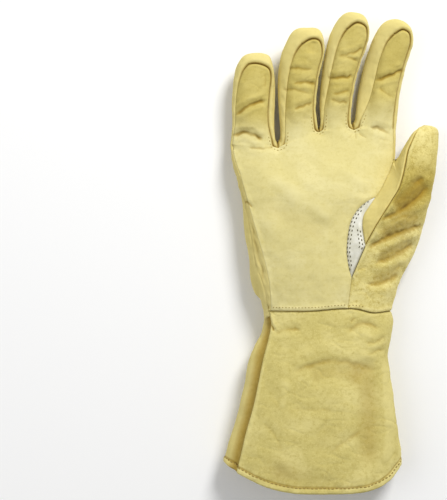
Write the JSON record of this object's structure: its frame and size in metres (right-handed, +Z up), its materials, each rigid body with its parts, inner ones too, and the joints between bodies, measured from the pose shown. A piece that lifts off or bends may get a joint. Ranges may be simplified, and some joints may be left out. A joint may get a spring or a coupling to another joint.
{
  "type": "cut-resistant work gauntlet",
  "caption": "Pale yellow cut-resistant work gauntlet lying palm up, with a thumb patch, gathered wrist and long flared cuff.",
  "frame": {"origin": "centre of the underside of the box round the glove, on the surface that it lies on", "axes": "+X towards the thumb, +Y towards the fingertips, +Z up, out of the palm"},
  "size_m": [0.1584, 0.3556, 0.0395],
  "materials": {
    "palm_cloth": "pale yellow, smooth nap",
    "back_cloth": "pale yellow, close weave",
    "side_cloth": "pale yellow, close weave",
    "thumb_suede": "pale yellow, rough nap",
    "patch_leather": "grey-white, matt",
    "cuff_cloth": "pale yellow, soft nap"
  },
  "bodies": {
    "root": {"palm_panel": "palm_cloth", "back_panel": "back_cloth", "little_finger_side": "side_cloth", "ring_finger_side": "side_cloth", "middle_finger_side": "side_cloth", "index_finger_side": "side_cloth", "thumb_front": "side_cloth", "thumb_back": "thumb_suede", "thumb_patch": "patch_leather", "cuff_front": "cuff_cloth"}
  },
  "joints": []
}
